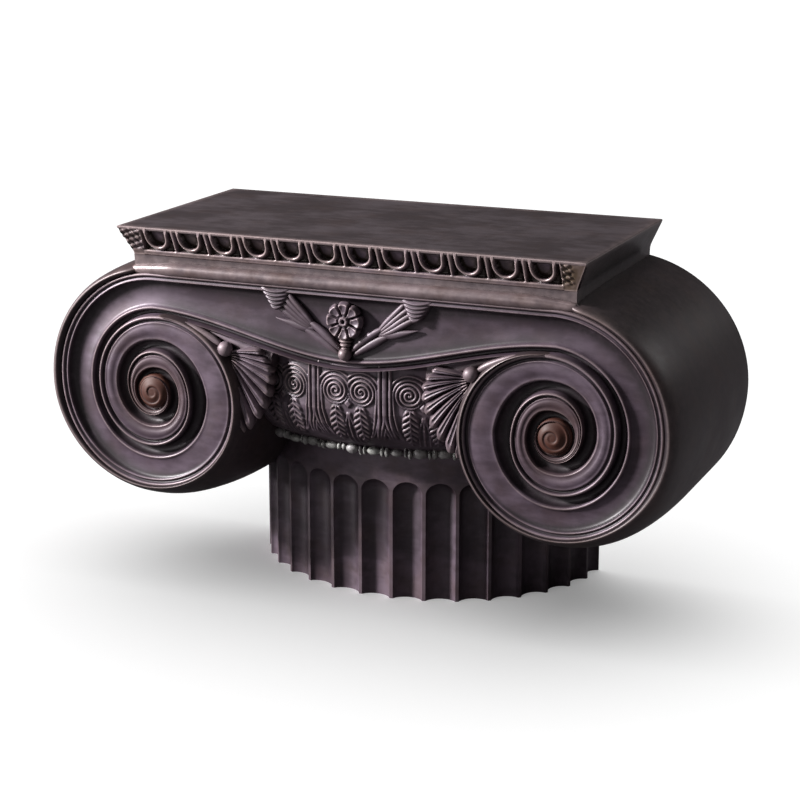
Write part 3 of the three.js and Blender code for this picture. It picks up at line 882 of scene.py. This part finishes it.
@dataclass
class Drum:
    """The top of the fluted column and the plain neck above it."""

    half_width: float = 229.4
    reach: float = 206.4
    cut: float = 1.2
    top_z: float = 204.0
    flutes: int = 17
    head_z: float = 155.0
    head_radius: float = 16.0
    depth: float = 11.0
    open_share: float = 0.90

    def on_plan(self, angle: np.ndarray, out: np.ndarray, z: np.ndarray) -> np.ndarray:
        """A point at an angle from the front, standing out from the drum's plan."""
        nx = np.sin(angle) / self.half_width
        ny = -np.cos(angle) / self.reach
        size = np.hypot(nx, ny)
        depth = self.cut + (self.reach - self.cut) * np.cos(angle)
        return stacked(self.half_width * np.sin(angle) + out * nx / size,
                       BACK_Y - depth + out * ny / size, z)

    def build(self) -> None:
        """Build the fluted skin, the flat back and both ends as one closed tube."""
        inner = 16
        per_flute = inner + 2
        around = self.flutes * per_flute
        behind = 24
        columns = around + behind
        low_rows, head_rows, neck_rows = 14, 18, 6
        rows = low_rows + head_rows + neck_rows
        pitch = math.pi / self.flutes
        head_share = 0.16
        roundness = 0.9
        lip = 0.316

        def place(u: np.ndarray, v: np.ndarray) -> np.ndarray:
            """The fluted skin."""
            step = np.rint(u * columns).astype(int)
            past = np.clip((step - around) / behind, 0.0, 1.0)
            step = np.minimum(step, around)
            flute = np.minimum(step // per_flute, self.flutes - 1)
            k = step - flute * per_flute
            level = np.rint(v * (rows + 2)).astype(int) - 1
            row = np.clip(level, 0, rows)
            low = np.clip(row / low_rows, 0, 1)
            head = np.clip((row - low_rows) / head_rows, 0, 1) * math.pi / 2
            neck = np.clip((row - low_rows - head_rows) / neck_rows, 0, 1)
            z = low * (self.head_z - self.head_radius) + np.sin(head) * self.head_radius
            z += neck * (self.top_z - self.head_z)
            side = -np.cos(np.clip((k - 1) / inner, 0, 1) * math.pi)
            local = self.open_share / 2.0 * np.maximum(np.cos(head), head_share) * side
            local = np.where(k == 0, -0.5, np.where(k == per_flute, 0.5, local))
            bowl = np.sqrt(np.clip(1.0 - roundness * side**2, 0.0, 1.0)) - lip
            bowl = np.clip(bowl, 0.0, 1.0) / (1.0 - lip)
            sink = self.depth * bowl * np.where(row > low_rows, np.cos(head) ** 0.9, 1.0)
            sink = np.where((k == 0) | (k == per_flute) | (row >= low_rows + head_rows), 0.0, sink)
            angle = (flute + 0.5 + local) * pitch - math.pi / 2
            places = self.on_plan(angle, -sink, z)
            places[:, 0] = mix(places[:, 0], -places[:, 0], past)
            ends = (level < 0) | (level > rows)
            places[ends, 0] = 0.0
            places[ends, 1] = BACK_Y - 0.45 * self.reach
            return places

        form = Form().sheet(columns, rows + 2, place)
        form.piece("drum", DRUM_LIT_PATINA, 38.0)


@dataclass
class Echinus:
    """The cushion between the volutes, carved with scrolls and palmettes, and its row of beads."""

    drum: Drum
    rows_z: tuple[float, ...] = (194, 196, 209, 216, 227, 243, 262, 318, 332, 364)
    rows_out: tuple[float, ...] = (1.6, 29, 36, 50, 63, 73, 78, 78, 70, 64)
    period: float = 93.0

    def out(self, z: np.ndarray) -> np.ndarray:
        """How far the plain cushion stands out of the drum at a height."""
        return np.interp(z, self.rows_z, self.rows_out)

    def carving(self, s: np.ndarray, z: np.ndarray) -> np.ndarray:
        """The height of the carving at a distance along the front and a height.

        Args:
            s: millimetres along the front from the middle.
            z: height above ground.

        Returns:
            The height of the carving, 0 on the plain ground.
        """
        across = np.abs((s + self.period / 2) % self.period - self.period / 2)
        middle_x, middle_z, size = 17.0, 287.0, 16.0
        wind = 5.2
        dx, dz = across - middle_x, z - middle_z
        far = np.hypot(dx, dz)
        line = (far - wind * (np.arctan2(dz, -dx) / FULL_TURN) + 0.5 * wind) / wind
        coil = ridge((line - np.round(line)) * wind, 3.6) * smooth((size + 2.0 - far) / 2.0)
        height = 2.6 * coil
        inside = smooth((size + 1.0 - far) / 2.0)
        below = z < middle_z + 4.0
        fall = np.cos(np.clip((middle_z - z) / 62.0, 0, 1) * math.pi / 2) ** 0.35
        mask = np.where(below, smooth((dx + 2.0) / 6.0) * smooth((z - 222.0) / 8.0), 1.0)
        mask *= smooth((324.0 - z) / 5.0)
        for ring in (size + 3.2, size + 8.2):
            lean = np.where(below, np.maximum(dx, 0.0) - ring * fall, far - ring)
            height = np.maximum(height, 2.2 * ridge(lean, 3.2) * mask * (1.0 - inside))
        reed_x = self.period / 2 - 1.0 - 7.0 * smooth((258.0 - z) / 34.0)
        for shift in (-5.6, 0.0, 5.6):
            reed = ridge(across - (reed_x + shift * mix(1.0, 0.7, smooth((258.0 - z) / 30.0))), 4.6)
            height = np.maximum(height, 3.0 * reed * smooth((z - 224.0) / 10.0))
        lx = across - (middle_x - 1.0)
        half = 11.5 * np.sin(np.clip((z - 218.0) / 56.0, 0, 1) * math.pi) ** 0.55
        body = smooth((half - np.abs(lx)) / 2.0) * smooth((middle_z - size - 1.0 - z) / 3.0)
        chevron = ridge(((z + np.abs(lx) * 0.75) % 7.4) - 3.7, 5.2)
        stem = ridge(lx, 3.0)
        height = np.maximum(height, body * np.maximum(0.6 + 2.4 * chevron, 3.0 * stem))
        lozenge = across + np.abs(z - 272.0) * 0.9
        height = np.maximum(height, 2.6 * smooth((6.2 - lozenge) / 2.5))
        fan = smooth((262.0 - z) / 3.0) * smooth((z - 216.0) / 4.0)
        centre = ridge(across, 3.4) + ridge(across - 5.0 * smooth((262.0 - z) / 26.0) - 1.5, 2.8)
        return np.maximum(height, 2.0 * np.clip(centre, 0, 1) * fan * (1.0 - body))

    def build(self) -> None:
        """Build the carved front, the plain cushion behind it and the beads."""
        span = 172.0
        low_z, high_z = 208.0, 326.0

        def angle_of(s: np.ndarray) -> np.ndarray:
            """The plan angle for a distance along the front."""
            return np.arcsin(np.clip(s / (self.drum.half_width + 60.0) * 0.96, -0.98, 0.98))

        def carved(u: np.ndarray, v: np.ndarray) -> np.ndarray:
            """The carved skin."""
            s = mix(-span, span, u)
            z = mix(low_z, high_z, v)
            edge = smooth((span - np.abs(s)) / 4.0) * smooth((z - low_z - 1.0) / 4.0)
            height = self.carving(s, z) * edge
            return self.drum.on_plan(angle_of(s), self.out(z) + height - 0.4, z)

        def into(co: Vector) -> Vector:
            """A place inside the cushion."""
            return Vector((co.x * 0.93, mix(co.y, BACK_Y, 0.07), co.z))

        Form().slab(372, 128, carved, into).piece("echinus_front", CARVED_PATINA, 80.0)

        def plain(u: np.ndarray, v: np.ndarray) -> np.ndarray:
            """The plain cushion."""
            angle = mix(-math.pi / 2, math.pi / 2, u)
            z = mix(self.rows_z[0], self.rows_z[-1], v)
            return self.drum.on_plan(angle, self.out(z) - 1.4, z)

        def back(co: Vector) -> Vector:
            """The flat back."""
            return Vector((co.x * 0.5, BACK_Y - 1.6, co.z))

        Form().slab(96, 68, plain, back).piece("echinus", CARVED_PATINA)
        self.beads(angle_of)

    def beads(self, angle_of: Callable[[np.ndarray], np.ndarray]) -> None:
        """Build the bead-and-reel row."""
        form = Form()
        rng = np.random.default_rng(7)
        pitch = 33.0
        row_out, row_z = 35.5, 203.0
        reel = (3.0, 5.0, 5.6)
        for i in range(-7, 7):
            for shift, half in ((0.5, (8.6, 5.6, 5.6)), (-0.1, reel), (0.1, reel)):
                angle = float(angle_of(np.array((i + shift) * pitch)))
                wobble = rng.uniform(-1.1, 1.1, 4)
                spot = self.drum.on_plan(angle, row_out + wobble[0], row_z + wobble[1])
                form.bead(tuple(spot), (half[0] + wobble[2], half[1], half[2] + wobble[3]), angle * 0.9)
        for vertex in form.mesh.verts:
            vertex.co += Vector(rng.uniform(-0.55, 0.55, 3))
        form.piece("astragal", BEAD_PATINA)


@dataclass
class Flower:
    """The rosette in the middle, with its calyx, its ball and a spray on each side."""

    z: float = 375.0
    radius: float = 24.0
    petals: int = 8
    ground_y: float = -136.0

    def build(self) -> None:
        """Build the rosette and what springs from it."""
        def disc(u: np.ndarray, v: np.ndarray) -> np.ndarray:
            """The flower's skin, from its middle out and round to a closed back."""
            angle = u * FULL_TURN
            reach = np.minimum(v / 0.8, 1.0)
            wave = np.abs(np.cos(angle * self.petals / 2.0))
            edge = self.radius * mix(0.78, 1.0, np.sqrt(1.0 - (1.0 - wave) ** 2))
            radius = edge * reach
            beside = np.arccos(np.clip(wave, 0.0, 1.0)) * 2.0 / self.petals
            off_gap = (math.pi / self.petals - beside) * radius
            out = smooth((reach - 0.24) / 0.2)
            rim = smooth((off_gap + 0.3) / 2.6) * smooth((1.03 - reach) / 0.20)
            bowl = smooth(1.25 - np.hypot(beside * radius / 5.4, (radius - 0.62 * self.radius) / 7.5))
            height = 4.0 + 7.0 * mix(1.0, rim, out) + 1.6 * smooth((reach - 0.4) / 0.5) * out - 1.7 * bowl
            middle = smooth((0.27 - reach) / 0.06)
            hole = smooth((0.12 - reach) / 0.05)
            moat = ridge(reach - 0.30, 0.12)
            height = height + middle * 0.6 - hole * 5.0 - 2.6 * moat
            behind = np.clip((v - 0.8) / 0.2, 0.0, 1.0)
            y = mix(self.ground_y - height, self.ground_y + 6.0, behind)
            radius = np.where(v > 0.999, 0.0, radius * mix(1.0, 0.86, behind))
            return stacked(radius * np.sin(angle), y, self.z + radius * np.cos(angle))

        Form().sheet(160, 46, disc).piece("rosette", CARVED_PATINA, 80.0)
        form = Form()
        form.bead((-0.5, -140.0, 334.5), (8.2, 9.0, 8.2), 0.0, 24, 16)
        collars = ((346.0, -138.5, (7.0, 7.5, 3.0)), (350.5, -138.0, (8.4, 7.5, 2.6)),
                   (341.6, -138.5, (5.4, 7.0, 2.4)))
        for z, y, halves in collars:
            form.bead((0.0, y, z), halves)
        form.piece("rosette_stem", CARVED_PATINA)
        for side in Side:
            self.spray(side)

    def spray(self, side: Side) -> None:
        """Build the reeds and the ribbed cup on one side."""
        form = Form()
        ground = self.ground_y
        ribs = 5

        def reed(points: Sequence[Sequence[float]], widths: Sequence[float], height: float) -> None:
            """Add one reed lying on the ground of the band."""
            path = [(x * side.value, ground - height * 0.35, z) for x, z in points]
            form.bar(path, [(w / 2.0, height) for w in widths], sides=14, rows=24)

        reed([(9, 333), (24, 343), (40, 353), (58, 363)], (7, 9, 10, 8), 3.4)
        reed([(7, 338), (19, 349), (33, 360), (48, 370)], (7, 9, 10, 9), 4.2)
        reed([(40, 362), (56, 362), (74, 366), (93, 371)], (9, 10, 8, 1.5), 3.2)
        for k in range(4):
            lean = k * 4.6
            reed([(42 + lean * 0.3, 366 - lean * 0.35), (54 + lean * 0.5, 379 - lean * 0.8),
                  (66 + lean * 0.7, 391 - lean), (76 + lean * 1.1, 402 - lean * 1.2)],
                 (7.0, 7.6, 8.0, 8.4), 4.0)

        def cup(u: np.ndarray, v: np.ndarray) -> np.ndarray:
            """The ribbed cup's front."""
            z = mix(384.0, 408.5, v)
            left = np.interp(z, [384, 408], [82.0, 70.0])
            right = np.interp(z, [384, 408], [97.0, 114.0])
            rib = 0.5 - 0.5 * np.cos(v * ribs * FULL_TURN)
            bow = np.sin(u * math.pi) ** 0.5
            return stacked(mix(left, right, u) * side.value, ground - 2.0 - 5.0 * bow - 2.0 * rib * bow,
                           z - 3.0 * np.sin(u * math.pi))

        form.slab(18, 40, cup, lambda co: Vector((co.x, ground + 5.0, co.z)))
        form.piece(f"spray_{side.word}", SPRAY_PATINA, 70.0)


@dataclass
class Palmette:
    """The fan of lobes in the corner between the echinus and one volute, with its knob and stem."""

    side: Side
    face: ScrollFace
    root: tuple[float, float] = (160.0, 322.0)
    tips: tuple[tuple[float, float], ...] = (
        (114, 332), (106, 321), (98, 310), (95, 297), (97, 281), (102, 264), (111, 248), (122, 235),
        (136, 219), (146, 222))
    behind_y: float = -104.0

    def at(self, x: float, y: float, z: float) -> tuple[float, float, float]:
        """A place on this piece's side."""
        return (x * self.side.value, y, z)

    def build(self) -> None:
        """Build the lobes, the knob and the stem that joins the lip."""
        lobes = len(self.tips) - 1
        ends = np.array(self.tips, float)

        def fan(u: np.ndarray, v: np.ndarray) -> np.ndarray:
            """The fan's carved front, from its root to its scalloped tips."""
            at = u * lobes
            share = at - np.floor(np.minimum(at, lobes - 1e-6))
            wave = np.sin(share * math.pi)
            tip_x = np.interp(at, np.arange(lobes + 1), ends[:, 0])
            tip_z = np.interp(at, np.arange(lobes + 1), ends[:, 1])
            reach = (0.10 + 0.90 * v) * mix(0.90, 1.0, wave ** 0.7 * v)
            sag = np.sin(reach * math.pi) * mix(1.0, 5.0, u)
            root_x = self.root[0] - 3.0 * u
            root_z = self.root[1] - 14.0 * u
            x = mix(root_x, tip_x, reach) + sag * 0.2
            z = mix(root_z, tip_z, reach) + sag
            crest = wave ** 0.65
            twin = ridge((share - 0.5) * 10.0, 2.6) * smooth((v - 0.05) / 0.2) * smooth((1.0 - v) / 0.12)
            lift = mix(0.55, 1.0, smooth(v / 0.6)) * smooth((1.04 - v) / 0.14)
            height = 3.0 + lift * (11.5 * crest - 2.6 * twin) * mix(1.0, 0.72, u)
            return stacked(x * self.side.value, -131.5 + 3.0 * u - height, z)

        lean = 10.0 * self.side.value
        form = Form().slab(lobes * 12, 30, fan, lambda co: Vector((co.x + lean, self.behind_y, co.z)))

        def web(u: np.ndarray, v: np.ndarray) -> np.ndarray:
            """The ground between the lower bead, the fan and the lip."""
            x = mix(101.0, 252.0, u)
            top = self.face.lower(x) + 1.5
            z = top - mix(26.0, 3.0, smooth(u)) * (1.0 - v)
            return stacked(x * self.side.value, -131.0 - 3.5 * ridge(v - 0.45, 0.5), z)

        form.slab(36, 12, web, lambda co: Vector((co.x, self.behind_y, co.z)))
        x, z = self.root
        form.bar([self.at(x - 8, -139.5, z), self.at(x, -141.0, z + 4), self.at(x + 8, -140.0, z + 8)],
                 ((8.0, 8.0), (9.5, 9.5), (8.0, 8.0)), sides=20, rows=18)
        form.bar([self.at(x + 7, -138.5, z + 8), self.at(x + 24, -139.5, z + 18),
                  self.at(x + 50, -140.5, z + 29), self.at(x + 82, -141.0, z + 35)],
                 ((5.6, 4.8), (4.8, 4.8), (3.4, 4.2), (0.8, 3.2)), sides=12, rows=30)
        form.piece(f"palmette_{self.side.word}", CARVED_PATINA, 70.0)


class Floor(Enum):
    """Whether a lamp lights the floor alone, or everything but the floor."""

    ALONE = "INCLUDE"
    NEVER = "EXCLUDE"


@dataclass(frozen=True)
class Lamp:
    """One square lamp."""

    name: str
    place: tuple[float, float, float]
    size: float
    power: float


@dataclass
class Studio:
    """The pale floor, the soft lights and the camera."""

    focal_pixels: float = 2064.6
    frame_pixels: float = 800.0
    sensor: float = 36.0
    camera_place: tuple[float, float, float] = (0.99186, -2.30179, 0.91980)
    right: tuple[float, float, float] = (0.919907, 0.392136, 0.0)
    up: tuple[float, float, float] = (-0.102151, 0.239635, 0.965474)
    backward: tuple[float, float, float] = (0.378597, -0.888147, 0.260499)
    aim: tuple[float, float, float] = (0.0, 0.0, 0.28)
    sky_tilt: float = -8.0
    floor_half: float = 14.0
    floor_glow: float = 0.22
    room_light: float = 0.06
    lamps: tuple[Lamp, ...] = (
        Lamp("key", (-2.36, -1.46, 1.54), 0.34, 318.0),
        Lamp("low_left", (-2.30, -1.40, 0.22), 0.3, 24.0),
        Lamp("front_soft", (-0.9, -3.0, 0.9), 1.6, 12.0),
        Lamp("back_soft", (1.9, 2.2, 1.5), 0.7, 7.0))

    def build(self) -> None:
        """Set up everything that isn't the capital."""
        self.camera()
        self.floor()
        self.world()
        off_floor = self.lit("off_floor", Floor.NEVER)
        for lamp in self.lamps:
            self.light(lamp, off_floor)
        self.sky("floor_sky", 3.1, 105.0, Floor.ALONE)
        self.sky("top_sky", 1.1, 70.0, Floor.NEVER)

    def lit(self, name: str, floor: Floor) -> bpy.types.Collection:
        """The list of what a lamp lights."""
        made = bpy.data.collections.new(name)
        made.objects.link(bpy.data.objects["floor"])
        made.collection_objects[0].light_linking.link_state = floor.value
        return made

    def camera(self) -> None:
        """Create the camera where the photograph was taken from."""
        data = bpy.data.cameras.new("camera")
        data.sensor_fit = "HORIZONTAL"
        data.sensor_width = self.sensor
        data.lens = self.focal_pixels / self.frame_pixels * self.sensor
        data.clip_end = 60.0
        made = placed("camera", data)
        turn = Matrix((self.right, self.up, self.backward)).transposed()
        made.matrix_world = Matrix.Translation(self.camera_place) @ turn.to_4x4()
        bpy.context.scene.camera = made

    def sky(self, name: str, energy: float, angle: float, floor: Floor) -> None:
        """Light evenly from above, with a very soft shadow.

        Args:
            name: the lamp's name.
            energy: its strength.
            angle: how wide it looks, in degrees.
            floor: whether it lights the floor only, or all but the floor.
        """
        data = bpy.data.lights.new(name, "SUN")
        data.energy = energy
        data.angle = math.radians(angle)
        made = placed(name, data)
        made.matrix_world = Matrix.Rotation(math.radians(self.sky_tilt), 4, "Y")
        made.light_linking.receiver_collection = self.lit(f"{name}_lights", floor)

    def floor(self) -> None:
        """Lay the pale floor."""
        form = bmesh.new()
        bmesh.ops.create_grid(form, x_segments=4, y_segments=4, size=self.floor_half)
        data = bpy.data.meshes.new("floor")
        form.to_mesh(data)
        form.free()
        made = placed("floor", data)
        dress = Dress(bpy.data.materials.new("floor_paper"))
        seen = dress.node("ShaderNodeBsdfPrincipled", None, {
            "Base Color": opaque(PAPER), "Roughness": 0.9, "Specular IOR Level": 0.1,
            "Emission Color": opaque(WHITE), "Emission Strength": self.floor_glow})
        felt = dress.node("ShaderNodeBsdfDiffuse", None, {"Color": opaque(FELT)})
        data.materials.append(dress.finish(self.by_ray(dress, felt, seen)))

    def by_ray(self, dress: Dress, lighting: Socket, seen: Socket) -> Socket:
        """One look for the light that bounces, and another for the camera."""
        ray = dress.node("ShaderNodeLightPath", None, None, "Is Camera Ray")
        return dress.node("ShaderNodeMixShader", None, {0: ray, 1: lighting, 2: seen})

    def world(self) -> None:
        """Light the room evenly and keep it white behind the object."""
        world = bpy.data.worlds.new("studio")
        bpy.context.scene.world = world
        dress = Dress(world)
        room, seen = (
            dress.node("ShaderNodeBackground", None, {"Color": opaque(WHITE), "Strength": strength})
            for strength in (self.room_light, 1.0))
        dress.finish(self.by_ray(dress, room, seen), "ShaderNodeOutputWorld")

    def light(self, lamp: Lamp, lit: bpy.types.Collection) -> None:
        """Hang one square lamp that looks at the capital's middle."""
        data = bpy.data.lights.new(lamp.name, "AREA")
        data.shape = "SQUARE"
        data.size = lamp.size
        data.energy = lamp.power
        made = placed(lamp.name, data)
        turn = (Vector(self.aim) - Vector(lamp.place)).to_track_quat("-Z", "Y")
        made.matrix_world = Matrix.Translation(lamp.place) @ turn.to_matrix().to_4x4()
        made.light_linking.receiver_collection = lit


def main() -> None:
    """Build the capital's pieces in order, then the studio."""
    logging.basicConfig(level=logging.INFO, format="%(message)s")
    Studio().build()
    face = ScrollFace()
    face.build()
    for side in Side:
        Bolster(side).build()
    Beam(face).build()
    Abacus().build()
    drum = Drum()
    drum.build()
    Echinus(drum).build()
    Flower().build()
    for side in Side:
        Palmette(side, face).build()
    bpy.context.scene.view_settings.view_transform = "Standard"
    bpy.context.view_layer.update()


if __name__ == "__main__":
    main()
